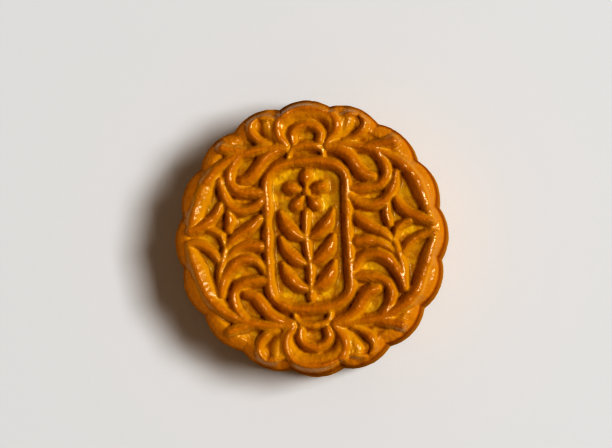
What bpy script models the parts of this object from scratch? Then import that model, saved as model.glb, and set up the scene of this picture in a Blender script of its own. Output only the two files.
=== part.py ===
"""A mooncake: one solid cake with a sixteen-lobed side and a moulded relief on its top.

The cake is a lobed blank whose wall bulges above a flat base. Rounded ridges stand on its top:
a plaque with a sprig, four curling corners, two side sprays, a ring and a flower at each end.
The mould is symmetrical, and the dough crept a little when it was pressed and baked.
Sizes are in millimetres until the mesh is made in metres. +Y is the top of the pattern.
"""

import math

import bpy
import numpy as np

METRES = 0.001

# Overall sizes
HEIGHT = 30.0
LOBES = 16
LOBE_RADIUS = 12.75
LOBE_CENTRE = 25.6
WIDTH_TO_LENGTH = 0.985
FLATTENED_TURN = math.radians(315)
FLATTENED_BY = 0.6

# Side wall. The top edge is a round, and below it come points of (inset from the belly, height)
EDGE_ROUND = 1.7
EDGE_INSET = 0.45
WALL = [(0.9, 21.6), (0.6, 17.2), (0.1, 12.0), (0.0, 7.0), (0.8, 2.4), (2.8, 0.0)]

# Top face. The margin rises outside the ring and falls again towards the edge
EDGE_RISE = 0.3
MARGIN_RISE = 1.6
MARGIN_START = 31.0
MARGIN_END = 33.8
MARGIN_FALL = 4.2
MARGIN_BLEND = 0.5
RIDGE_HEIGHT = 3.4
RIDGE_SPREAD = 1.25
USUAL_HALF_WIDTH = 1.5
WIDEST_SHARE = 1.25
WIDTH_TO_CREST = 0.6
SECTION_POWER = 0.675
RIDGES_FADE_WITHIN = 1.6

# How far the dough crept: sideways at the middle and at the left rim, and endways at the middle
CREEP_RADIUS = 36.0
CREEP_MIDDLE = -0.55
CREEP_RIM = 1.1
CREEP_ENDWAYS = 0.8

# Mesh
GRID = 151
EDGE_STEPS = 5
WALL_STEPS = 3
TRIANGLE_SHARE = 0.125

CRUST_COLOUR = (0.50, 0.19, 0.008, 1.0)

# Ridges of the mould. Each point is (x, y, half-width) on the ridge's centre line.
# One corner, pressed four times
CORNER_RIDGES = {
    "curl": [(11.5, 12.1, 1.2), (14.8, 12.0, 1.5), (18.4, 12.4, 1.5), (20.9, 14.1, 1.5),
             (21.8, 16.6, 1.5), (21.0, 19.6, 1.5), (19.0, 22.3, 1.4)],
    "hook": [(5.8, 23.8, 1.2), (9.0, 23.0, 1.5), (11.6, 21.4, 1.7), (13.5, 18.7, 1.7),
             (15.5, 16.3, 1.7), (18.1, 15.3, 1.4)],
    "branch": [(5.5, 24.7, 1.2), (10.0, 24.3, 1.3), (14.5, 23.8, 1.4), (18.5, 22.9, 1.4),
               (22.0, 21.4, 1.5), (25.5, 19.2, 1.6), (28.5, 16.0, 1.7)],
    "spur": [(15.5, 23.6, 1.1), (20.2, 24.3, 1.5), (23.9, 25.1, 1.6)],
    "petal outer arm": [(10.2, 25.2, 1.0), (13.2, 26.4, 1.2), (15.3, 28.5, 1.3), (15.9, 30.9, 1.2),
                        (14.6, 33.2, 1.0)],
    "petal edge": [(9.4, 32.4, 1.0), (11.7, 32.9, 1.1), (14.0, 33.4, 1.0)],
    "petal inner arm": [(7.5, 25.3, 0.9), (9.0, 27.5, 0.9), (9.6, 30.0, 0.9), (9.9, 32.0, 0.9)],
    "flower petal": [(5.8, 25.2, 1.3), (7.6, 27.5, 1.5), (8.2, 29.8, 1.6), (7.7, 32.0, 1.6),
                     (5.8, 34.1, 1.6), (3.4, 35.0, 1.6), (0.0, 35.3, 1.6)],
    "flower heart": [(0.0, 30.6, 1.35), (2.6, 29.7, 1.35), (4.0, 27.8, 1.35), (3.7, 25.6, 1.3)],
    "arch": [(0.0, 24.7, 1.3), (2.5, 24.3, 1.2), (4.3, 23.2, 1.0), (5.0, 21.0, 0.8)],
    "plaque frame": [(0.0, 20.2, 1.5), (4.0, 20.0, 1.5), (7.5, 19.0, 1.5), (10.1, 17.0, 1.4),
                     (11.1, 14.3, 1.4), (11.0, 9.0, 1.35), (11.0, 0.0, 1.35)],
}
# One side, pressed twice
SIDE_RIDGES = {
    "cradle": [(11.1, 11.7, 1.2), (12.8, 9.3, 1.4), (15.3, 7.8, 1.5), (18.3, 7.4, 1.5),
               (20.8, 8.4, 1.5), (22.5, 10.6, 1.5), (23.8, 13.6, 1.4), (24.4, 16.1, 1.3)],
    "drop": [(22.0, 8.5, 0.9), (21.6, 5.3, 1.4), (22.2, 2.3, 1.1)],
    "upper stay": [(24.1, 9.2, 1.2), (25.6, 6.5, 1.4), (27.9, 4.8, 1.6), (30.8, 3.6, 1.6),
                   (33.4, 2.9, 1.4)],
    "lower stay": [(25.4, -5.7, 1.2), (27.0, -3.6, 1.3), (29.2, -1.8, 1.3), (31.8, -0.7, 1.3),
                   (34.0, -0.6, 1.2)],
    "bud": [(27.8, 3.0, 1.1), (25.8, 2.1, 1.1), (24.3, 0.8, 1.1), (23.6, -1.5, 1.0)],
    "upper leaf": [(13.2, 4.7, 1.3), (15.6, 2.6, 1.6), (18.8, 0.8, 1.5), (21.5, -1.0, 1.3),
                   (23.0, -3.0, 0.9)],
    "middle leaf": [(13.1, -2.7, 1.5), (16.0, -2.3, 1.5), (18.8, -2.7, 1.4), (21.3, -4.0, 1.2),
                    (23.4, -6.0, 0.9)],
    "lower leaf": [(11.8, -10.3, 1.1), (13.3, -7.8, 1.3), (15.5, -6.3, 1.5), (18.5, -6.1, 1.6),
                   (21.0, -7.3, 1.7), (23.0, -9.4, 1.6), (24.5, -12.4, 1.5), (25.2, -15.1, 1.3)],
    "stem": [(23.3, -2.5, 1.0), (24.3, -6.5, 1.3), (25.2, -10.0, 1.2), (25.4, -13.5, 1.1)],
}
# Lower and broader ridges, each with its share of a ridge's height
CORNER_SWELLS = {
    "bowl of the flower": (0.76, [(6.9, 28.0, 1.2), (7.1, 29.9, 1.6), (6.5, 31.6, 1.8),
                                  (4.9, 33.1, 1.9), (2.8, 33.9, 1.9), (0.0, 34.1, 1.9)]),
    "bowl of the petal": (0.66, [(8.7, 26.6, 1.0), (10.2, 28.7, 1.6), (11.1, 30.8, 2.0),
                                 (11.5, 32.4, 1.6)]),
}
SIDE_SWELLS = {
    "upper ring": (0.86, [(25.5, 19.2, 1.7), (28.6, 16.0, 1.8), (31.2, 10.0, 1.8),
                          (32.5, 6.0, 1.7), (33.5, 2.6, 1.3)]),
    "lower ring": (0.86, [(34.2, -0.8, 1.2), (32.8, -5.0, 1.7), (31.2, -10.0, 1.8),
                          (28.6, -16.0, 1.8), (25.5, -19.2, 1.7)]),
}
# The dough filled the ring's inner slope on the left side alone
LEFT_SWELLS = {
    "inside of the upper ring": (0.74, [(-24.8, 18.4, 1.4), (-27.6, 15.3, 1.8), (-30.5, 9.8, 2.0),
                                        (-31.7, 6.2, 1.7), (-32.6, 3.8, 1.2)]),
    "inside of the lower ring": (0.74, [(-32.6, -3.0, 1.2), (-32.1, -5.2, 1.7), (-30.5, -9.8, 2.0),
                                        (-27.6, -15.3, 1.8), (-24.8, -18.4, 1.4)]),
}
# The sprig inside the plaque: a stem, and leaf pairs and flower petals made by rule
SPRIG_STEM = [(0.0, -17.2, 1.1), (0.4, -10.0, 1.2), (-0.3, -2.0, 1.2), (0.0, 6.0, 1.1)]
SPRIG_LEAF = [(0.4, 0.0, 1.0), (3.2, 1.3, 1.7), (5.7, 4.0, 1.7), (7.2, 7.4, 0.8)]
SPRIG_LEAF_STARTS = (-15.0, -8.1, -1.2)
SPRIG_FLOWER_Y = 11.6
SPRIG_FLOWER_HEART = 1.2
SPRIG_PETALS = 5
SPRIG_PETAL = [(2.3, 1.0), (3.6, 1.6), (4.7, 1.55)]


def spline(points, steps=8):
    """Points along a smooth curve through the given ones, each with its half-width."""
    p = np.array(points, float)
    if len(p) < 3:
        return np.linspace(p[0], p[-1], steps + 1)
    p = np.vstack([2 * p[0] - p[1], p, 2 * p[-1] - p[-2]])
    t = np.linspace(0, 1, steps, endpoint=False)[:, None]
    runs = []
    for a, b, c, d in zip(p, p[1:], p[2:], p[3:]):
        runs.append(b + t * (c - a) / 2 + t**2 * (a - 2.5 * b + 2 * c - d / 2)
                    + t**3 * (d - a + 3 * (b - c)) / 2)
    return np.vstack(runs + [p[-2:-1]])


def crept(points):
    """Where points of the mould's pattern came to lie on the baked cake."""
    x, y, half_width = np.array(points, float).T
    q = (x**2 + y**2) / CREEP_RADIUS**2
    rim = CREEP_RIM * (1 - np.maximum(x, 0) / CREEP_RADIUS)
    return np.stack([x + CREEP_MIDDLE + (rim - CREEP_MIDDLE) * q,
                     y + CREEP_ENDWAYS * (1 - q), half_width], axis=1)


def turned(points, across, along):
    """The points mirrored across X, along Y, or both, by a sign for each."""
    return np.array(points, float) * (across, along, 1)


def sprig_ridges():
    """The sprig's stem, its leaves in pairs, and the petals round its flower's heart."""
    ridges = [np.array(SPRIG_STEM)]
    for start in SPRIG_LEAF_STARTS:
        leaf = np.array(SPRIG_LEAF) + (0, start, 0)
        ridges += [turned(leaf, 1, 1), turned(leaf, -1, 1)]
    heart = (0, SPRIG_FLOWER_Y, SPRIG_FLOWER_HEART)
    ridges.append(np.array([heart, heart]) + [(0, 0, 0), (0, 0.1, 0)])
    for k in range(SPRIG_PETALS):
        turn = 2 * math.pi * k / SPRIG_PETALS
        ridges.append(np.array([(r * math.sin(turn), SPRIG_FLOWER_Y + r * math.cos(turn), w)
                                for r, w in SPRIG_PETAL]))
    return ridges


def all_ridges():
    """Every ridge and swell as its share of a ridge's height and a smooth line with half-widths."""
    ridges = [(1.0, points) for points in sprig_ridges()] + list(LEFT_SWELLS.values())
    corners = [(1.0, points) for points in CORNER_RIDGES.values()] + list(CORNER_SWELLS.values())
    sides = [(1.0, points) for points in SIDE_RIDGES.values()] + list(SIDE_SWELLS.values())
    for share, points in corners:
        for along in (1, -1):
            ridges += [(share, turned(points, across, along)) for across in (1, -1)]
    for share, points in sides:
        ridges += [(share, turned(points, across, 1)) for across in (1, -1)]
    return [(share, spline(crept(points)) * (1, 1, RIDGE_SPREAD)) for share, points in ridges]


def ridge_relief(x, y):
    """Height of the highest ridge over each place, nought between the ridges."""
    relief = np.zeros_like(x)
    usual = USUAL_HALF_WIDTH * RIDGE_SPREAD
    for share, line in all_ridges():
        for (ax, ay, aw), (bx, by, bw) in zip(line, line[1:]):
            reach = max(aw, bw)
            near = np.nonzero((abs(x - (ax + bx) / 2) < reach + abs(bx - ax))
                              & (abs(y - (ay + by) / 2) < reach + abs(by - ay)))[0]
            dx, dy = x[near] - ax, y[near] - ay
            length = (bx - ax) ** 2 + (by - ay) ** 2
            t = np.clip((dx * (bx - ax) + dy * (by - ay)) / length, 0, 1)
            width = aw + t * (bw - aw)
            off = np.hypot(dx - t * (bx - ax), dy - t * (by - ay)) / width
            crest = share * RIDGE_HEIGHT * np.minimum(width / usual, WIDEST_SHARE) ** WIDTH_TO_CREST
            rise = crest * np.clip(1 - off**2, 0, 1) ** SECTION_POWER
            relief[near] = np.maximum(relief[near], rise)
    return relief


def smooth_step(value, start, end):
    """Nought before the start and one after the end, eased between them."""
    share = np.clip((value - start) / (end - start), 0, 1)
    return share**2 * (3 - 2 * share)


def from_edge(x, y):
    """How far in from the outermost line of the top edge each place lies."""
    turn = np.arctan2(x / WIDTH_TO_LENGTH, y)
    lobe = 2 * math.pi / LOBES
    within = (turn + lobe / 2) % lobe - lobe / 2
    radius = np.hypot(x / WIDTH_TO_LENGTH, y) + flattening(turn)
    past_centre = np.maximum(radius * np.cos(within) - LOBE_CENTRE, 0)
    return LOBE_RADIUS - EDGE_INSET - np.hypot(past_centre, radius * np.sin(within))


def top_relief(x, y):
    """Height above the floor between the ridges: the ridges and the margin, blended."""
    inwards = from_edge(x, y)
    fall = EDGE_RISE + (MARGIN_RISE - EDGE_RISE) * smooth_step(inwards, 0, MARGIN_FALL)
    margin = fall * smooth_step(np.hypot(x, y), MARGIN_START, MARGIN_END)
    ridges = ridge_relief(x, y) * smooth_step(inwards, 0, RIDGES_FADE_WITHIN)
    nearness = np.maximum(MARGIN_BLEND - abs(ridges - margin), 0) / MARGIN_BLEND
    return np.maximum(ridges, margin) + nearness**3 * MARGIN_BLEND / 6


def flattening(turn):
    """How much nearer the centre the outline is on the side where the cake was pressed flatter."""
    return FLATTENED_BY * np.clip(np.cos(turn - FLATTENED_TURN), 0, 1) ** 3


def outline(turn, inset):
    """The lobed outline, set in by a distance, at angles clockwise from +Y."""
    lobe = 2 * math.pi / LOBES
    within = (turn + lobe / 2) % lobe - lobe / 2
    radius = LOBE_CENTRE * np.cos(within) + np.sqrt(
        (LOBE_RADIUS - inset) ** 2 - (LOBE_CENTRE * np.sin(within)) ** 2)
    radius = radius - flattening(turn)
    return radius * np.sin(turn) * WIDTH_TO_LENGTH, radius * np.cos(turn)


def square_to_disc(a, b):
    """Share of the radius and angle that spread a square grid evenly over a disc."""
    wide = abs(a) > abs(b)
    share = np.where(wide, a, b)
    safe = np.where(share == 0, 1, share)
    turn = np.where(wide, math.pi / 2 - math.pi / 4 * b / safe, math.pi / 4 * a / safe)
    return abs(share), np.where(share < 0, turn + math.pi, turn)


def cake_mesh():
    """Vertices in millimetres and faces: the top grid, the edge and wall rings, and the base."""
    across = np.linspace(-1, 1, GRID)
    a, b = (grid.ravel() for grid in np.meshgrid(across, across))
    share, turn = square_to_disc(a, b)
    x, y = outline(turn, EDGE_INSET + EDGE_ROUND)
    x, y = x * share, y * share
    relief = top_relief(x, y)
    floor = HEIGHT - relief.max()
    points = [np.stack([x, y, floor + relief], axis=1)]
    index = np.arange(GRID * GRID).reshape(GRID, GRID)
    faces = np.stack([index[:-1, :-1], index[:-1, 1:], index[1:, 1:], index[1:, :-1]], axis=-1)
    faces = faces.reshape(-1, 4).tolist()

    ring = np.concatenate([index[0, :-1], index[:-1, -1], index[-1, :0:-1], index[:0:-1, 0]])
    turn = turn[ring]
    rings = []
    for bend in np.linspace(0, math.pi / 2, EDGE_STEPS + 1)[1:]:
        x, y = outline(turn, EDGE_INSET + EDGE_ROUND * (1 - math.sin(bend)))
        rings.append((x, y, floor + top_relief(x, y) - EDGE_ROUND * (1 - math.cos(bend))))
    edge_end = (EDGE_INSET, floor + EDGE_RISE - EDGE_ROUND)
    wall = spline([(inset, height, 0) for inset, height in [edge_end] + WALL], WALL_STEPS)
    for inset, height, _ in wall[1:]:
        x, y = outline(turn, inset)
        rings.append((x, y, np.full_like(x, height)))
    for number, (x, y, z) in enumerate(rings):
        points.append(np.stack([x, y, z], axis=1))
        below = GRID * GRID + number * len(ring) + np.arange(len(ring))
        above = below - len(ring) if number else ring
        faces += ring_faces(above, below)
    points.append([(0, 0, 0)])
    middle = int(below[-1]) + 1
    faces += [(int(after), int(before), middle) for before, after in zip(below, np.roll(below, -1))]
    return np.vstack(points), faces


def ring_faces(upper, lower):
    """The band of faces between two rings of vertices that run the same way."""
    return np.stack([np.roll(upper, -1), upper, lower, np.roll(lower, -1)], axis=1).tolist()


def crust_material():
    """Baked crust, brushed with egg: glossy orange-brown."""
    material = bpy.data.materials.new("baked crust")
    material.use_nodes = True
    shader = material.node_tree.nodes["Principled BSDF"]
    shader.inputs["Base Color"].default_value = CRUST_COLOUR
    shader.inputs["Roughness"].default_value = 0.35
    shader.inputs["Metallic"].default_value = 0.0
    return material


def make_cake():
    """The cake as one mesh object, with its triangles thinned where the surface is smooth."""
    points, faces = cake_mesh()
    mesh = bpy.data.meshes.new("mooncake")
    mesh.from_pydata((points * METRES).tolist(), [], faces)
    mesh.materials.append(crust_material())
    mesh.shade_smooth()
    cake = bpy.data.objects.new("mooncake", mesh)
    bpy.context.scene.collection.objects.link(cake)
    thinning = cake.modifiers.new("thinning", "DECIMATE")
    thinning.ratio = TRIANGLE_SHARE
    thinning.use_collapse_triangulate = True
    return cake


for startup_object in list(bpy.data.objects):
    bpy.data.objects.remove(startup_object, do_unlink=True)
make_cake()
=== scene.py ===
# %% [markdown]
# # A moulded mooncake
# A mooncake is a ball of sweet paste in a thin dough skin. It is pressed into a carved mould,
# tipped out, and baked with a wash of egg yolk. This script loads the solid cake that holds its
# real size, and makes a finer one in its place: the same lobed blank and the same ridges, but
# with rounded creases, an uneven skin and a baked, glossy crust.
# Everything is worked out in millimetres, and the finished mesh is brought to metres at the end.

# %% Load the solid cake
import math

import bpy
from mathutils import Matrix, Vector


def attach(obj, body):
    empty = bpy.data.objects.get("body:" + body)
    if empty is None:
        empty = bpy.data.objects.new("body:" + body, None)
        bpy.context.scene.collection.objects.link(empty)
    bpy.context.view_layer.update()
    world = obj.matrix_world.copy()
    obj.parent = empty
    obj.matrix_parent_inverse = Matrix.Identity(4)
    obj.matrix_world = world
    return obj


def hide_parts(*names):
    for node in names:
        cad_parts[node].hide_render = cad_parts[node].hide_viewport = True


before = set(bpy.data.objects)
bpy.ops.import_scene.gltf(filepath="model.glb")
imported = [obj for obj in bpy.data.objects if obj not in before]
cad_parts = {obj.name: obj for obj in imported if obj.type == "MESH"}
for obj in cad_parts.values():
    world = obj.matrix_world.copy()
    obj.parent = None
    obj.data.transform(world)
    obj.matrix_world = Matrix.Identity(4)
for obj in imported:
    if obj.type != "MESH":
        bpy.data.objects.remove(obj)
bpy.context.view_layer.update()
METRES = 0.001

# %% [markdown]
# ## A bench for node trees
# Both the shape and the crust are node trees, and much of a tree is plain arithmetic. So a small
# class wraps an output socket and answers to +, -, * and the rest by adding a Math node. The
# sums below can then be read as sums. Every other node comes from one method, `add`, which takes
# the node's type, its settings and the values or links of its inputs.

# %% Sockets that take part in sums
class Value:
    """An output socket of a node tree that can be used in a sum."""

    def __init__(self, bench, socket):
        self.bench = bench
        self.socket = socket

    def __add__(self, other):
        return self.bench.math("ADD", self, other)

    def __sub__(self, other):
        return self.bench.math("SUBTRACT", self, other)

    def __rsub__(self, other):
        return self.bench.math("SUBTRACT", other, self)

    def __mul__(self, other):
        return self.bench.math("MULTIPLY", self, other)

    def __truediv__(self, other):
        return self.bench.math("DIVIDE", self, other)

    def __rtruediv__(self, other):
        return self.bench.math("DIVIDE", other, self)

    def __pow__(self, other):
        return self.bench.math("POWER", self, other)

    def __lt__(self, other):
        return self.bench.math("LESS_THAN", self, other)

    def __gt__(self, other):
        return self.bench.math("GREATER_THAN", self, other)

    def at_least(self, other):
        return self.bench.math("MAXIMUM", self, other)

    def at_most(self, other):
        return self.bench.math("MINIMUM", self, other)

    def root(self):
        return self.bench.math("SQRT", self.at_least(0))

    def sin(self):
        return self.bench.math("SINE", self)

    def cos(self):
        return self.bench.math("COSINE", self)

    def abs(self):
        return self.bench.math("ABSOLUTE", self)

    __radd__ = __add__
    __rmul__ = __mul__


class Bench:
    """A node tree with one method for Math nodes and one for every other node."""

    def __init__(self, tree):
        self.tree = tree

    def link(self, value, socket):
        if isinstance(value, Value):
            self.tree.links.new(value.socket, socket)
        else:
            socket.default_value = value

    def add(self, kind, settings=None, inputs=None):
        """Adds a node, sets it up, and returns a function that gives any of its outputs."""
        node = self.tree.nodes.new(kind)
        for name, value in (settings or {}).items():
            setattr(node, name, value)
        for name, value in (inputs or {}).items():
            self.link(value, node.inputs[name])
        return lambda name=0: Value(self, node.outputs[name])

    def math(self, operation, *values):
        return self.add("ShaderNodeMath", {"operation": operation}, dict(enumerate(values)))()

    def ramp(self, value, start, end):
        """Nought before the start and one after the end, eased between them."""
        settings = {"interpolation_type": "SMOOTHSTEP"}
        inputs = {"Value": value, "From Min": start, "From Max": end}
        return self.add("ShaderNodeMapRange", settings, inputs)()


print("the bench is ready")

# %% [markdown]
# ## The ridges of the mould
# The carver cuts grooves in a wooden mould, and each groove becomes a rounded ridge. A ridge is
# just a line with a width, so each one is written as a few points of (x, y, half-width). The
# mould is symmetrical: one corner serves four times and one side serves twice. The points are the
# solid cake's own, since the two have to match.

# %% Ridges of one corner and one side
CORNER_RIDGES = {
    "curl": [(11.5, 12.1, 1.2), (14.8, 12.0, 1.5), (18.4, 12.4, 1.5), (20.9, 14.1, 1.5),
             (21.8, 16.6, 1.5), (21.0, 19.6, 1.5), (19.0, 22.3, 1.4)],
    "hook": [(5.8, 23.8, 1.2), (9.0, 23.0, 1.5), (11.6, 21.4, 1.7), (13.5, 18.7, 1.7),
             (15.5, 16.3, 1.7), (18.1, 15.3, 1.4)],
    "branch": [(5.5, 24.7, 1.2), (10.0, 24.3, 1.3), (14.5, 23.8, 1.4), (18.5, 22.9, 1.4),
               (22.0, 21.4, 1.5), (25.5, 19.2, 1.6), (28.5, 16.0, 1.7)],
    "spur": [(15.5, 23.6, 1.1), (20.2, 24.3, 1.5), (23.9, 25.1, 1.6)],
    "petal outer arm": [(10.2, 25.2, 1.0), (13.2, 26.4, 1.2), (15.3, 28.5, 1.3), (15.9, 30.9, 1.2),
                        (14.6, 33.2, 1.0)],
    "petal edge": [(9.4, 32.4, 1.0), (11.7, 32.9, 1.1), (14.0, 33.4, 1.0)],
    "petal inner arm": [(7.5, 25.3, 0.9), (9.0, 27.5, 0.9), (9.6, 30.0, 0.9), (9.9, 32.0, 0.9)],
    "flower petal": [(5.8, 25.2, 1.3), (7.6, 27.5, 1.5), (8.2, 29.8, 1.6), (7.7, 32.0, 1.6),
                     (5.8, 34.1, 1.6), (3.4, 35.0, 1.6), (0.0, 35.3, 1.6)],
    "flower heart": [(0.0, 30.6, 1.35), (2.6, 29.7, 1.35), (4.0, 27.8, 1.35), (3.7, 25.6, 1.3)],
    "arch": [(0.0, 24.7, 1.3), (2.5, 24.3, 1.2), (4.3, 23.2, 1.0), (5.0, 21.0, 0.8)],
    "plaque frame": [(0.0, 20.2, 1.5), (4.0, 20.0, 1.5), (7.5, 19.0, 1.5), (10.1, 17.0, 1.4),
                     (11.1, 14.3, 1.4), (11.0, 9.0, 1.35), (11.0, 0.0, 1.35)],
}
SIDE_RIDGES = {
    "cradle": [(11.1, 11.7, 1.2), (12.8, 9.3, 1.4), (15.3, 7.8, 1.5), (18.3, 7.4, 1.5),
               (20.8, 8.4, 1.5), (22.5, 10.6, 1.5), (23.8, 13.6, 1.4), (24.4, 16.1, 1.3)],
    "drop": [(22.0, 8.5, 0.9), (21.6, 5.3, 1.4), (22.2, 2.3, 1.1)],
    "upper stay": [(24.1, 9.2, 1.2), (25.6, 6.5, 1.4), (27.9, 4.8, 1.6), (30.8, 3.6, 1.6),
                   (33.4, 2.9, 1.4)],
    "lower stay": [(25.4, -5.7, 1.2), (27.0, -3.6, 1.3), (29.2, -1.8, 1.3), (31.8, -0.7, 1.3),
                   (34.0, -0.6, 1.2)],
    "bud": [(27.8, 3.0, 1.1), (25.8, 2.1, 1.1), (24.3, 0.8, 1.1), (23.6, -1.5, 1.0)],
    "upper leaf": [(13.2, 4.7, 1.3), (15.6, 2.6, 1.6), (18.8, 0.8, 1.5), (21.5, -1.0, 1.3),
                   (23.0, -3.0, 0.9)],
    "middle leaf": [(13.1, -2.7, 1.5), (16.0, -2.3, 1.5), (18.8, -2.7, 1.4), (21.3, -4.0, 1.2),
                    (23.4, -6.0, 0.9)],
    "lower leaf": [(11.8, -10.3, 1.1), (13.3, -7.8, 1.3), (15.5, -6.3, 1.5), (18.5, -6.1, 1.6),
                   (21.0, -7.3, 1.7), (23.0, -9.4, 1.6), (24.5, -12.4, 1.5), (25.2, -15.1, 1.3)],
    "stem": [(23.3, -2.5, 1.0), (24.3, -6.5, 1.3), (25.2, -10.0, 1.2), (25.4, -13.5, 1.1)],
}
print("ridges of a corner and of a side:", len(CORNER_RIDGES), len(SIDE_RIDGES))

# %% [markdown]
# ## Swells and the sprig
# Some grooves are shallower and broader, so they leave a swell: the ring round the pattern, and
# the bowls of the petals. Each has its share of a full ridge's height. On the left the dough also
# filled the inner slope of the ring, so those two swells are pressed once, beside the sprig that
# fills the plaque. The sprig is a stem, leaves in pairs and petals turned round a heart, so a
# short rule makes it out of one leaf and one petal.
# All lines become curve objects: the radius of a curve point holds the half-width, and its Z
# holds the share of height.

# %% Swells, and the lines of the sprig
CORNER_SWELLS = {
    "bowl of the flower": (0.76, [(6.9, 28.0, 1.2), (7.1, 29.9, 1.6), (6.5, 31.6, 1.8),
                                  (4.9, 33.1, 1.9), (2.8, 33.9, 1.9), (0.0, 34.1, 1.9)]),
    "bowl of the petal": (0.66, [(8.7, 26.6, 1.0), (10.2, 28.7, 1.6), (11.1, 30.8, 2.0),
                                 (11.5, 32.4, 1.6)]),
}
SIDE_SWELLS = {
    "upper ring": (0.86, [(25.5, 19.2, 1.7), (28.6, 16.0, 1.8), (31.2, 10.0, 1.8),
                          (32.5, 6.0, 1.7), (33.5, 2.6, 1.3)]),
    "lower ring": (0.86, [(34.2, -0.8, 1.2), (32.8, -5.0, 1.7), (31.2, -10.0, 1.8),
                          (28.6, -16.0, 1.8), (25.5, -19.2, 1.7)]),
}
LEFT_SWELLS = {
    "inside of the upper ring": (0.74, [(-24.8, 18.4, 1.4), (-27.6, 15.3, 1.8), (-30.5, 9.8, 2.0),
                                        (-31.7, 6.2, 1.7), (-32.6, 3.8, 1.2)]),
    "inside of the lower ring": (0.74, [(-32.6, -3.0, 1.2), (-32.1, -5.2, 1.7), (-30.5, -9.8, 2.0),
                                        (-27.6, -15.3, 1.8), (-24.8, -18.4, 1.4)]),
}
SPRIG_STEM = [(0.0, -17.2, 1.1), (0.4, -10.0, 1.2), (-0.3, -2.0, 1.2), (0.0, 6.0, 1.1)]
SPRIG_LEAF = [(0.4, 0.0, 1.0), (3.2, 1.3, 1.7), (5.7, 4.0, 1.7), (7.2, 7.4, 0.8)]
SPRIG_LEAF_STARTS = (-15.0, -8.1, -1.2)
SPRIG_FLOWER_Y = 11.6
SPRIG_FLOWER_HEART = 1.2
SPRIG_PETALS = 5
SPRIG_PETAL = [(2.3, 1.0), (3.6, 1.6), (4.7, 1.55)]


def sprig_ridges():
    """The sprig that fills the plaque: a stem, leaves in pairs, and petals round a heart."""
    ridges = [SPRIG_STEM]
    for start in SPRIG_LEAF_STARTS:
        for side in (1, -1):
            ridges.append([(side * x, y + start, w) for x, y, w in SPRIG_LEAF])
    heart = SPRIG_FLOWER_Y
    ridges.append([(0, heart, SPRIG_FLOWER_HEART), (0, heart + 0.1, SPRIG_FLOWER_HEART)])
    for k in range(SPRIG_PETALS):
        turn = 2 * math.pi * k / SPRIG_PETALS
        ridges.append([(r * math.sin(turn), heart + r * math.cos(turn), w) for r, w in SPRIG_PETAL])
    return ridges


def curve_object(name, ridges, swells=()):
    """A curve object with a plain line through each list of points, its share of height as Z."""
    lines = [(1.0, points) for points in ridges] + list(swells)
    curve = bpy.data.curves.new(name, "CURVE")
    curve.dimensions = "3D"
    for share, points in lines:
        spline = curve.splines.new("POLY")
        spline.points.add(len(points) - 1)
        for point, (x, y, radius) in zip(spline.points, points):
            point.co = (x, y, share, 1)
            point.radius = radius
    return bpy.data.objects.new(name, curve)


corner_lines = curve_object("corner lines", CORNER_RIDGES.values(), CORNER_SWELLS.values())
side_lines = curve_object("side lines", SIDE_RIDGES.values(), SIDE_SWELLS.values())
lone_lines = curve_object("lone lines", sprig_ridges(), LEFT_SWELLS.values())
for lines in (corner_lines, side_lines, lone_lines):
    print(lines.name, len(lines.data.splines))

# %% [markdown]
# ## The side of the cake
# Seen from the side, the top edge is a quarter round, a slight waist runs under it, and the wall
# swells to a belly before it turns in to the flat base. One curve holds this profile, as
# (inset from the belly, height). The tree reads it by its length, so a single line shapes the
# whole wall, and every ring of the wall is the lobed outline set in by the profile's inset.

# %% Profile of the wall
HEIGHT = 30.0
RELIEF = 3.9
FLOOR = HEIGHT - RELIEF
EDGE_RISE = 0.3
EDGE_ROUND = 1.7
EDGE_INSET = 0.45
EDGE_STEPS = 8
WALL = [(0.9, 21.6), (0.6, 17.2), (0.1, 12.0), (0.0, 7.0), (0.8, 2.4), (2.8, 0.0)]
WALL_STEPS = 6


def smooth_line(points, steps):
    """Points along a smooth curve through the given ones."""
    ends = [tuple(2 * a - b for a, b in zip(points[0], points[1])), *points,
            tuple(2 * a - b for a, b in zip(points[-1], points[-2]))]
    line = []
    for a, b, c, d in zip(ends, ends[1:], ends[2:], ends[3:]):
        for t in (k / steps for k in range(steps)):
            line.append(tuple(
                q + t * (r - p) / 2 + t**2 * (p - 2.5 * q + 2 * r - s / 2)
                + t**3 * (s - p + 3 * (q - r)) / 2 for p, q, r, s in zip(a, b, c, d)))
    return line + [points[-1]]


edge_end = (EDGE_INSET, FLOOR + EDGE_RISE - EDGE_ROUND)
profile = []
for k in range(EDGE_STEPS):
    bend = math.pi / 2 * k / EDGE_STEPS
    profile.append((edge_end[0] + EDGE_ROUND * (1 - math.sin(bend)),
                    edge_end[1] + EDGE_ROUND * math.cos(bend), 1.0))
profile += [(*point, 1.0) for point in smooth_line([edge_end, *WALL], WALL_STEPS)]
side_profile = curve_object("side profile", [profile])
print("profile points:", len(profile))

# %% [markdown]
# ## The press: a tree that makes the cake
# The shape follows rules, so Geometry Nodes make it, and every size is a named input.
# 1. The lines are mirrored into place, joined, and shifted a little, as dough creeps when it is
#    pressed: endways and sideways at the middle, and sideways again towards the left rim. Curve
#    to Mesh turns each into a rope, with a ball at both ends.
# 2. A square grid is spread evenly over a disc with a lobed edge. A second grid becomes the wall
#    and a fan closes the base. Merge by Distance sews the three together.
# 3. A ray falls from above on each point. Where it meets a rope, the rope's height is the relief,
#    which gives the tight creases between neighbouring ridges. A slight blur rounds them. Outside
#    the pattern a plain margin stands up in its place, and falls to the edge.
# Sculpting by hand could do this too, but then no size could be changed afterwards.

# %% Sizes of the press
press_tree = bpy.data.node_groups.new("mooncake press", "GeometryNodeTree")
press = Bench(press_tree)
inputs_of_press = {}


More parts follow.
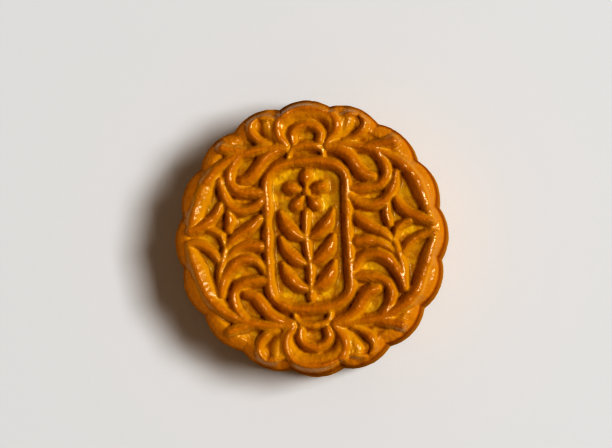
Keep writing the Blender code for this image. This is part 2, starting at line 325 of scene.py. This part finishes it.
def press_input(name, kind, value=None):
    """Adds a named input to the press, with the value that it is given later."""
    made = press_tree.interface.new_socket(name, in_out="INPUT", socket_type="NodeSocket" + kind)
    inputs_of_press[made.identifier] = value


press_tree.interface.new_socket("Cake", in_out="OUTPUT", socket_type="NodeSocketGeometry")
# A modifier hands over its object's own mesh first, and the press has no use for it
press_tree.interface.new_socket("Dough", in_out="INPUT", socket_type="NodeSocketGeometry")
for name, kind, value in (
        ("Corner lines", "Object", corner_lines),
        ("Side lines", "Object", side_lines),
        ("Lone lines", "Object", lone_lines),
        ("Side profile", "Object", side_profile),
        ("Points across", "Int", 285),
        ("Wall rings", "Int", 15),
        ("Lobes", "Float", 16.0),
        ("Lobe radius", "Float", 12.75),
        ("Lobe centre", "Float", 25.6),
        ("Width to length", "Float", 0.985),
        ("Flattened turn", "Float", math.radians(315)),
        ("Flattened by", "Float", 0.6),
        ("Creep radius", "Float", 36.0),
        ("Creep middle", "Float", -0.55),
        ("Creep rim", "Float", 1.1),
        ("Creep endways", "Float", 0.8),
        ("Ridge height", "Float", 3.4),
        ("Ridge spread", "Float", 1.25),
        ("Usual half-width", "Float", 1.5),
        ("Margin blend", "Float", 0.5),
        ("Wobble", "Float", 0.7),
        ("Wobble of width", "Float", 0.5),
        ("Unevenness", "Float", 0.35),
        ("Floor", "Float", FLOOR),
        ("Edge rise", "Float", EDGE_RISE),
        ("Margin rise", "Float", 1.6),
        ("Crust", "Material", None)):
    press_input(name, kind, value)
size = press.add("NodeGroupInput")
print("inputs of the press:", len(inputs_of_press))

# %% Ridge lines, mirrored, joined and crept
def object_shape(name):
    """The geometry of an object that is an input of the press."""
    return press.add("GeometryNodeObjectInfo", inputs={"Object": size(name)})("Geometry")


def mirrored(shape, across, along):
    scale = {"Geometry": shape, "Scale": (across, along, 1)}
    return press.add("GeometryNodeTransform", inputs=scale)()


def joined(shapes):
    node = press_tree.nodes.new("GeometryNodeJoinGeometry")
    for shape in reversed(shapes):
        press_tree.links.new(shape.socket, node.inputs[0])
    return Value(press, node.outputs[0])


def place():
    """The position of each point, as x, y and z."""
    parts = press.add("ShaderNodeSeparateXYZ", inputs={0: press.add("GeometryNodeInputPosition")()})
    return parts("X"), parts("Y"), parts("Z")


def vector(x, y, z):
    return press.add("ShaderNodeCombineXYZ", inputs={"X": x, "Y": y, "Z": z})()


def moved(shape, x, y, z):
    return press.add("GeometryNodeSetPosition",
                     inputs={"Geometry": shape, "Position": vector(x, y, z)})()


def pressed_round(corner, side):
    """The shape of one corner pressed four times, and that of one side pressed twice."""
    return ([mirrored(corner, across, along) for across in (1, -1) for along in (1, -1)]
            + [mirrored(side, across, 1) for across in (1, -1)])


def stored(shape, name, value):
    """The shape with a value kept at each point under a name."""
    return press.add("GeometryNodeStoreNamedAttribute", {"data_type": "FLOAT", "domain": "POINT"},
                     {"Geometry": shape, "Name": name, "Value": value})()


def kept(name):
    return press.add("GeometryNodeInputNamedAttribute", {"data_type": "FLOAT"}, {"Name": name})()


def noise(scale, detail=2.0):
    """Smooth noise round nought, from -0.5 to 0.5, at a number of lumps for each millimetre."""
    return press.add("ShaderNodeTexNoise", inputs={"Scale": scale, "Detail": detail})("Fac") - 0.5


lines = pressed_round(object_shape("Corner lines"), object_shape("Side lines"))
lines = joined(lines + [object_shape("Lone lines")])
lines = press.add("GeometryNodeCurveSplineType", {"spline_type": "CATMULL_ROM"}, {"Curve": lines})()
x, y, z = place()
q = (x * x + y * y) / (size("Creep radius") ** 2)
creep_rim = size("Creep rim") * (1 - x.at_least(0.0) / size("Creep radius"))
creep_across = size("Creep middle") + (creep_rim - size("Creep middle")) * q
lines = moved(lines, x + creep_across, y + size("Creep endways") * (1 - q), z)
print("ridge lines are in place")

# %% Ropes with round ends along the lines
ROPE_STEP = 0.3
ROPE_SIDES = 24
WIDEST_THAT_COUNTS = 1.25
HEIGHT_BY_WIDTH = 0.6
ROUNDNESS = 1.35
lines = press.add("GeometryNodeResampleCurve", {"mode": "LENGTH"},
                  {"Curve": lines, "Length": ROPE_STEP})()
x, y, z = place()
half_width = press.add("GeometryNodeInputRadius")() * size("Ridge spread")
half_width = half_width * (1 + size("Wobble of width") * noise(0.22))
lines = stored(stored(lines, "share", z), "half width", half_width)
lines = moved(lines, x + size("Wobble") * noise(0.11), y + size("Wobble") * noise(0.13), 0.0)
stored_width = kept("half width")
rim = press.add("GeometryNodeCurvePrimitiveCircle", {"mode": "RADIUS"},
                {"Resolution": ROPE_SIDES, "Radius": 1.0})()
ropes = press.add("GeometryNodeCurveToMesh",
                  inputs={"Curve": lines, "Profile Curve": rim, "Scale": stored_width})()
ball = press.add("GeometryNodeMeshUVSphere",
                 inputs={"Segments": ROPE_SIDES, "Rings": ROPE_SIDES // 2, "Radius": 1.0})()
ends = press.add("GeometryNodeCurveEndpointSelection", inputs={"Start Size": 1, "End Size": 1})()
balls = press.add("GeometryNodeInstanceOnPoints",
                  inputs={"Points": lines, "Selection": ends, "Instance": ball,
                          "Scale": vector(stored_width, stored_width, stored_width)})()
balls = press.add("GeometryNodeRealizeInstances", inputs={"Geometry": balls})()
ropes = joined([ropes, balls])
x, y, z = place()
# A ridge that is wider than usual is a little higher too
wider = stored_width / size("Usual half-width") / size("Ridge spread")
crest = kept("share") * size("Ridge height") * wider.at_most(WIDEST_THAT_COUNTS) ** HEIGHT_BY_WIDTH
ropes = moved(ropes, x, y, crest * (z / stored_width).at_least(0.0) ** ROUNDNESS)
print("ropes follow the lines")

# %% The lobed outline
def lobe_at(turn):
    """The angle from the middle of the nearest lobe, and how far the rim is flattened there."""
    lobe = 2 * math.pi / size("Lobes")
    within = press.math("WRAP", turn + lobe / 2, lobe, 0.0) - lobe / 2
    facing = (turn - size("Flattened turn")).cos().at_least(0.0)
    return within, size("Flattened by") * facing ** 3


def outline(turn, inset):
    """Points of the lobed outline, set in by a distance, at angles clockwise from +Y."""
    within, flattened = lobe_at(turn)
    across = size("Lobe centre") * within.sin()
    reach = size("Lobe radius") - inset
    radius = size("Lobe centre") * within.cos() + (reach * reach - across * across).root()
    radius = radius - flattened
    return radius * turn.sin() * size("Width to length"), radius * turn.cos()


def from_edge(x, y):
    """How far in from the outermost line of the top edge each place lies."""
    across = x / size("Width to length")
    within, flattened = lobe_at(press.math("ARCTAN2", across, y))
    radius = (across * across + y * y).root() + flattened
    past = (radius * within.cos() - size("Lobe centre")).at_least(0.0)
    sideways = radius * within.sin()
    return size("Lobe radius") - EDGE_INSET - (past * past + sideways * sideways).root()


print("the outline is a rule")

# %% The blank: top, wall and base
GRID_SIZE = 2.0
SEWING_DISTANCE = 0.002
TINY = 1e-6
points_across = size("Points across")
top = press.add("GeometryNodeMeshGrid", inputs={
    "Size X": GRID_SIZE, "Size Y": GRID_SIZE,
    "Vertices X": points_across, "Vertices Y": points_across})("Mesh")
a, b, _ = place()
wide = a.abs() > b.abs()
share = wide * a + (1 - wide) * b
safe = share + (share.abs() < TINY)
turn_wide = math.pi / 2 - math.pi / 4 * (b / safe)
turn_tall = math.pi / 4 * (a / safe)
turn = wide * turn_wide + (1 - wide) * turn_tall + math.pi * (share < 0.0)
edge_x, edge_y = outline(turn, EDGE_INSET + EDGE_ROUND)
top = moved(top, edge_x * share.abs(), edge_y * share.abs(), size("Floor") + size("Edge rise"))

around = 4 * (points_across - 1)
wall = press.add("GeometryNodeMeshGrid", inputs={
    "Size X": 1.0, "Size Y": 1.0,
    "Vertices X": around + 1, "Vertices Y": size("Wall rings")})("Mesh")
u, v, _ = place()
sample = press.add("GeometryNodeSampleCurve", {"mode": "FACTOR", "use_all_curves": True},
                   {"Curves": object_shape("Side profile"), "Factor": 0.5 - v})("Position")
sample = press.add("ShaderNodeSeparateXYZ", inputs={0: sample})
# The rings start where a corner of the top's grid lies, so that the points of both meet
first_corner = math.radians(135)
wall_x, wall_y = outline(first_corner - 2 * math.pi * (u + 0.5), sample("X"))
wall = moved(wall, wall_x, wall_y, sample("Y"))

base = press.add("GeometryNodeMeshCircle", {"fill_type": "TRIANGLE_FAN"},
                 {"Vertices": around, "Radius": 1.0})()
x, y, _ = place()
from_middle = (x * x + y * y).root()
base_x, base_y = outline(press.math("ARCTAN2", x, y), WALL[-1][0])
base = moved(base, base_x * from_middle, base_y * from_middle, 0.0)
base = press.add("GeometryNodeFlipFaces", inputs={"Mesh": base})()
blank = press.add("GeometryNodeMergeByDistance",
                  inputs={"Geometry": joined([top, wall, base]), "Distance": SEWING_DISTANCE})()
print("the blank is sewn")

# %% The relief
RAY_START = 10.0
BLUR_STEPS = 2
CREASE_STEPS = 12
EDGE_FADE = 1.6
MARGIN_START, MARGIN_END = 31.0, 33.8
MARGIN_FALL = 4.2
SLACK = 0.01
x, y, z = place()
ray = press.add("GeometryNodeRaycast", {"data_type": "FLOAT"}, {
    "Target Geometry": ropes, "Source Position": vector(x, y, RAY_START),
    "Ray Direction": (0, 0, -1), "Ray Length": 2 * RAY_START})
hit_height = press.add("ShaderNodeSeparateXYZ", inputs={0: ray("Hit Position")})("Z")
above_edge = z > FLOOR + EDGE_RISE - EDGE_ROUND - SLACK
relief = hit_height * ray("Is Hit") * above_edge
relief = press.add("GeometryNodeBlurAttribute", {"data_type": "FLOAT"},
                   {"Value": relief, "Iterations": BLUR_STEPS})()
relief = relief * press.ramp(from_edge(x, y), 0.0, EDGE_FADE)
margin = press.ramp((x * x + y * y).root(), MARGIN_START, MARGIN_END)
fall = press.ramp(from_edge(x, y), 0.0, MARGIN_FALL)
margin = margin * above_edge * (
    size("Edge rise") + (size("Margin rise") - size("Edge rise")) * fall)
relief = press.math("SMOOTH_MAX", relief, margin, size("Margin blend"))
height = z + (relief - size("Edge rise")) * above_edge
around_it = press.add("GeometryNodeBlurAttribute", {"data_type": "FLOAT"},
                      {"Value": relief, "Iterations": CREASE_STEPS})()
cake = stored(blank, "relief", relief / size("Ridge height"))
cake = stored(cake, "crease", (around_it - relief) / size("Ridge height"))
cake = stored(cake, "from edge", from_edge(x, y))
cake = moved(cake, x, y, height)
print("the relief is pressed")

# %% Unevenness, metres and the crust
x, y, z = place()
bulge = size("Unevenness") * (noise(0.35, 3.0) + 0.5 * noise(1.1)) * press.ramp(z, 0.3, 2.5)
normal = press.add("ShaderNodeSeparateXYZ", inputs={0: press.add("GeometryNodeInputNormal")()})
cake = moved(cake, x + bulge * normal("X"), y + bulge * normal("Y"), z + bulge * normal("Z"))
cake = press.add("GeometryNodeTransform", inputs={"Geometry": cake, "Scale": (METRES,) * 3})()
cake = press.add("GeometryNodeRealizeInstances", inputs={"Geometry": cake})()
cake = press.add("GeometryNodeSetShadeSmooth", inputs={0: cake, "Shade Smooth": True})()
cake = press.add("GeometryNodeSetMaterial", inputs={"Geometry": cake, "Material": size("Crust")})()
press.add("NodeGroupOutput", inputs={"Cake": cake})
print("nodes in the press:", len(press_tree.nodes))

# %% [markdown]
# ## The crust
# The creases between the ridges are darkened with painted shade.
# Syrup dough bakes to a warm brown. It stays golden in the hollows and browns where it stands
# proud, on the crests. It is darker along the rim on the right (+X) side, and so are the
# crests there, a little.
# The wall pales from the rim down. The egg wash gives a hard gloss on top: it gathers in the
# hollows, breaks up at the creases, and misses the side.
# The press has left three numbers on the mesh that make this simple to mix: "relief", "crease"
# and "from edge". The gloss is a coat over a crust that doesn't shine by itself, and a Bump node
# adds pores, grain and small pools, which are too fine to model.

# %% Colours of the crust
HOLLOW = (0.61, 0.352, 0.011)
PATCH = (0.50, 0.234, 0.006)
FLANK = (0.53, 0.25, 0.005)
CREST = (0.45, 0.164, 0.003)
# The crease colour is painted shade, for the creases between the ridges
CREASE_SHADE = (0.27, 0.098, 0.003)
MARGIN = (0.48, 0.19, 0.004)
RIM = (0.25, 0.068, 0.004)
SIDE = (0.39, 0.175, 0.02)
print("colours of the crust: 8, as shares of red, green and blue light")

# %% Noises of the crust, as (lumps per metre, detail, roughness)
MOTTLE = (160.0, 5.0, 0.6)
PATCHES = (330.0, 3.0, 0.6)
POOLS = (420.0, 1.0, 0.5)
PORES = (900.0, 4.0, 0.6)
GRAIN = (2200.0, 3.0, 0.7)
print("pores in each millimetre:", PORES[0] * METRES)

# %% What the crust is mixed from
crust = bpy.data.materials.new("baked crust")
crust.use_nodes = True
crust.node_tree.nodes.clear()
oven = Bench(crust.node_tree)


def attribute(name):
    return oven.add("ShaderNodeAttribute", {"attribute_name": name})("Fac")


def mix(amount, first, second):
    """A mix of two colours."""
    node = oven.tree.nodes.new("ShaderNodeMix")
    node.data_type = "RGBA"
    oven.link(amount, node.inputs[0])
    for socket, colour in ((node.inputs[6], first), (node.inputs[7], second)):
        oven.link(colour if isinstance(colour, Value) else (*colour, 1.0), socket)
    return Value(oven, node.outputs[2])


def lumps(kind):
    """Noise from 0 to 1 that stays fixed to the cake."""
    scale, detail, roughness = kind
    return oven.add("ShaderNodeTexNoise", inputs={
        "Vector": place_on_cake, "Scale": scale, "Detail": detail, "Roughness": roughness})("Fac")


place_on_cake = oven.add("ShaderNodeTexCoord")("Object")
axes = oven.add("ShaderNodeSeparateXYZ", inputs={0: place_on_cake})
height = axes("Z") / METRES
right_side = oven.ramp(axes("X") / METRES, -5.0, 28.0)
relief, crease, inwards = attribute("relief"), attribute("crease"), attribute("from edge")
outside = oven.ramp(inwards, 5.0, 2.0)
mottle = lumps(MOTTLE)
print("the crust reads the relief, the creases and the distance from the edge")

# %% Browning
# Each ramp's numbers are where a colour starts to show, and where it shows most
browned = oven.ramp(relief - 0.8 * crease + 0.5 * (mottle - 0.5), 0.6, 1.05)
colour = mix(oven.ramp(lumps(PATCHES), 0.42, 0.62), HOLLOW, PATCH)
colour = mix(oven.ramp(relief, 0.02, 0.20), colour, FLANK)
colour = mix(browned, colour, CREST)
# The crests are a little darker towards +X
colour = mix(0.2 * right_side * browned, colour, RIM)
colour = mix(outside * oven.ramp(relief, 0.75, 0.55), colour, MARGIN)
# Painted shade: the creases beside the ridges turn a dark brown
colour = mix(oven.ramp(crease, 0.025, 0.28), colour, CREASE_SHADE)
# A dark line along the rim, on the +X side only
colour = mix(oven.ramp(inwards, 1.0, 0.2) * right_side, colour, RIM)
colour = mix(oven.ramp(height, 23.0, 8.0), colour, SIDE)
print("nodes after browning:", len(crust.node_tree.nodes))

# %% Skin and egg wash
pools = lumps(POOLS) * (1.2 + 3.0 * oven.ramp(relief, 0.25, 0.05) + outside)
on_top = 0.25 + 0.75 * oven.ramp(height, 23.6, 25.6)
skin = (lumps(PORES) + lumps(GRAIN) + pools) * on_top
bump = oven.add("ShaderNodeBump", inputs={"Strength": 0.6, "Distance": 0.0004, "Height": skin})()
washed = 0.8 + 0.1 * oven.ramp(relief, 0.3, 0.08) + 0.2 * outside
washed = washed * oven.ramp(crease, 0.2, 0.05) * oven.ramp(mottle, 0.3, 0.55)
washed = washed * oven.ramp(inwards, 0.5, 1.5)
shader = oven.add("ShaderNodeBsdfPrincipled", inputs={
    "Base Color": colour, "Roughness": 0.42, "Specular IOR Level": 0.0,
    "Normal": bump,
    "Coat Weight": washed,
    "Coat Roughness": 0.23, "Coat IOR": 1.45, "Subsurface Weight": 0.03,
    "Subsurface Radius": (1.0, 0.35, 0.12), "Subsurface Scale": 0.0015})()
oven.add("ShaderNodeOutputMaterial", inputs={"Surface": shader})
print("nodes in the crust:", len(crust.node_tree.nodes))

# %% [markdown]
# ## Pressing the cake
# An empty mesh gets the press as a modifier. Each input is set by its socket's identifier, which
# holds even if two inputs share a name, and before anything is evaluated. The evaluated result
# is then copied to a plain mesh, so no modifier is left on the cake, and the cake takes the solid
# one's place.

# %% Press and bake the cake
blank_mesh = bpy.data.meshes.new("dough")
dough = bpy.data.objects.new("dough", blank_mesh)
bpy.context.scene.collection.objects.link(dough)
pressing = dough.modifiers.new("press", "NODES")
pressing.node_group = press_tree
for item in press_tree.interface.items_tree:
    if item.in_out == "INPUT" and item.identifier in inputs_of_press:
        value = crust if item.name == "Crust" else inputs_of_press[item.identifier]
        pressing[item.identifier] = value
bpy.context.view_layer.update()
evaluated = dough.evaluated_get(bpy.context.evaluated_depsgraph_get())
cake_mesh = bpy.data.meshes.new_from_object(evaluated)
cake = bpy.data.objects.new("moulded_cake", cake_mesh)
bpy.context.scene.collection.objects.link(cake)
bpy.data.objects.remove(dough)
triangles = sum(len(face.vertices) - 2 for face in cake_mesh.polygons)
print("triangles of the cake:", triangles)

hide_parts("mooncake")
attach(cake, "root")

# %% [markdown]
# ## The table
# A plain, pale board that runs out of view on every side. Its faintly cool colour balances the
# warm light of the room, so that it looks neutral.

# %% Table
floor_mesh = bpy.data.meshes.new("table")
HALF_TABLE = 1.5
corners = [(-HALF_TABLE, -HALF_TABLE, 0), (HALF_TABLE, -HALF_TABLE, 0),
           (HALF_TABLE, HALF_TABLE, 0), (-HALF_TABLE, HALF_TABLE, 0)]
floor_mesh.from_pydata(corners, [], [(0, 1, 2, 3)])
table = bpy.data.objects.new("table", floor_mesh)
bpy.context.scene.collection.objects.link(table)
table_finish = bpy.data.materials.new("pale board")
table_finish.use_nodes = True
table_shader = table_finish.node_tree.nodes["Principled BSDF"]
table_shader.inputs["Base Color"].default_value = (0.83, 0.845, 0.86, 1.0)
table_shader.inputs["Roughness"].default_value = 0.6
table.data.materials.append(table_finish)
print("the table is", 2 * HALF_TABLE, "metres wide")

# %% [markdown]
# ## The light
# The light comes from a window on the right. One large, high light makes the soft shadow on the
# table. The ridges need a lower light to stand out, but that would draw the shadow too long, so a
# small side light falls on the cake alone, by light linking. A faint back light stands in for
# what the pale board throws back at the side in shade, so it is kept out of reflections. The room
# itself is dim and warm, which turns the shadows between the ridges a reddish brown.

# %% Light
def soft_light(name, azimuth, elevation, distance, size, power, colour):
    """An area light that looks at the cake from an azimuth (0 is +X, 90 is +Y) and elevation."""
    light = bpy.data.lights.new(name, "AREA")
    light.shape = "RECTANGLE"
    light.size, light.size_y = size
    light.energy = power
    light.color = colour
    a, e = math.radians(azimuth), math.radians(elevation)
    towards = Vector((math.cos(a) * math.cos(e), math.sin(a) * math.cos(e), math.sin(e)))
    lamp = bpy.data.objects.new(name, light)
    lamp.location = towards * distance
    lamp.rotation_euler = towards.to_track_quat("Z", "Y").to_euler()
    bpy.context.scene.collection.objects.link(lamp)
    return lamp


soft_light("window", azimuth=6, elevation=59, distance=9.0, size=(3.0, 3.0), power=435,
           colour=(0.98, 1.0, 1.01))
side_light = soft_light("side light", azimuth=6, elevation=33, distance=3.0, size=(0.5, 0.5),
                        power=42, colour=(0.90, 1.0, 0.75))
back_light = soft_light("back light", azimuth=190, elevation=6, distance=3.0, size=(1.0, 1.0),
                        power=20, colour=(1.0, 0.98, 0.62))
only_the_cake = bpy.data.collections.new("lit alone")
only_the_cake.objects.link(cake)
for lamp in (side_light, back_light):
    lamp.light_linking.receiver_collection = only_the_cake
back_light.visible_glossy = False
world = bpy.data.worlds.new("room")
world.use_nodes = True
room = world.node_tree.nodes["Background"]
room.inputs["Color"].default_value = (1.0, 0.80, 0.63, 1.0)
room.inputs["Strength"].default_value = 0.125
bpy.context.scene.world = world
bpy.context.scene.view_settings.view_transform = "Standard"
bpy.context.scene.view_settings.look = "Very High Contrast"

# %% [markdown]
# ## The camera
# It looks almost straight down, but leans a little, so that a thin strip of the wall shows. The
# pattern is seen slightly turned. The camera turns for that, as the cake has to stay in line
# with the solid one.

# %% Camera
CAMERA_DISTANCE = 0.75
WIDTH_SEEN = 0.1669
LEAN_RIGHT = math.radians(3.4)
LEAN_DOWN = math.radians(2.8)
PATTERN_LEAN = math.radians(2.4)
LOOKED_AT = Vector((-0.73, 3.5, 28.5)) * METRES
camera_data = bpy.data.cameras.new("camera")
camera_data.sensor_width = 36.0
camera_data.lens = camera_data.sensor_width * CAMERA_DISTANCE / WIDTH_SEEN
camera = bpy.data.objects.new("camera", camera_data)
towards = Vector((math.tan(LEAN_RIGHT), -math.tan(LEAN_DOWN), 1)).normalized()
up = Vector((math.sin(PATTERN_LEAN), math.cos(PATTERN_LEAN), 0))
right = up.cross(towards).normalized()
up = towards.cross(right)
turned = Matrix((right, up, towards)).transposed()
camera.matrix_world = Matrix.Translation(LOOKED_AT + towards * CAMERA_DISTANCE) @ turned.to_4x4()
bpy.context.scene.collection.objects.link(camera)
bpy.context.scene.camera = camera
print("camera distance in metres:", CAMERA_DISTANCE, "and lens in mm:", round(camera_data.lens))
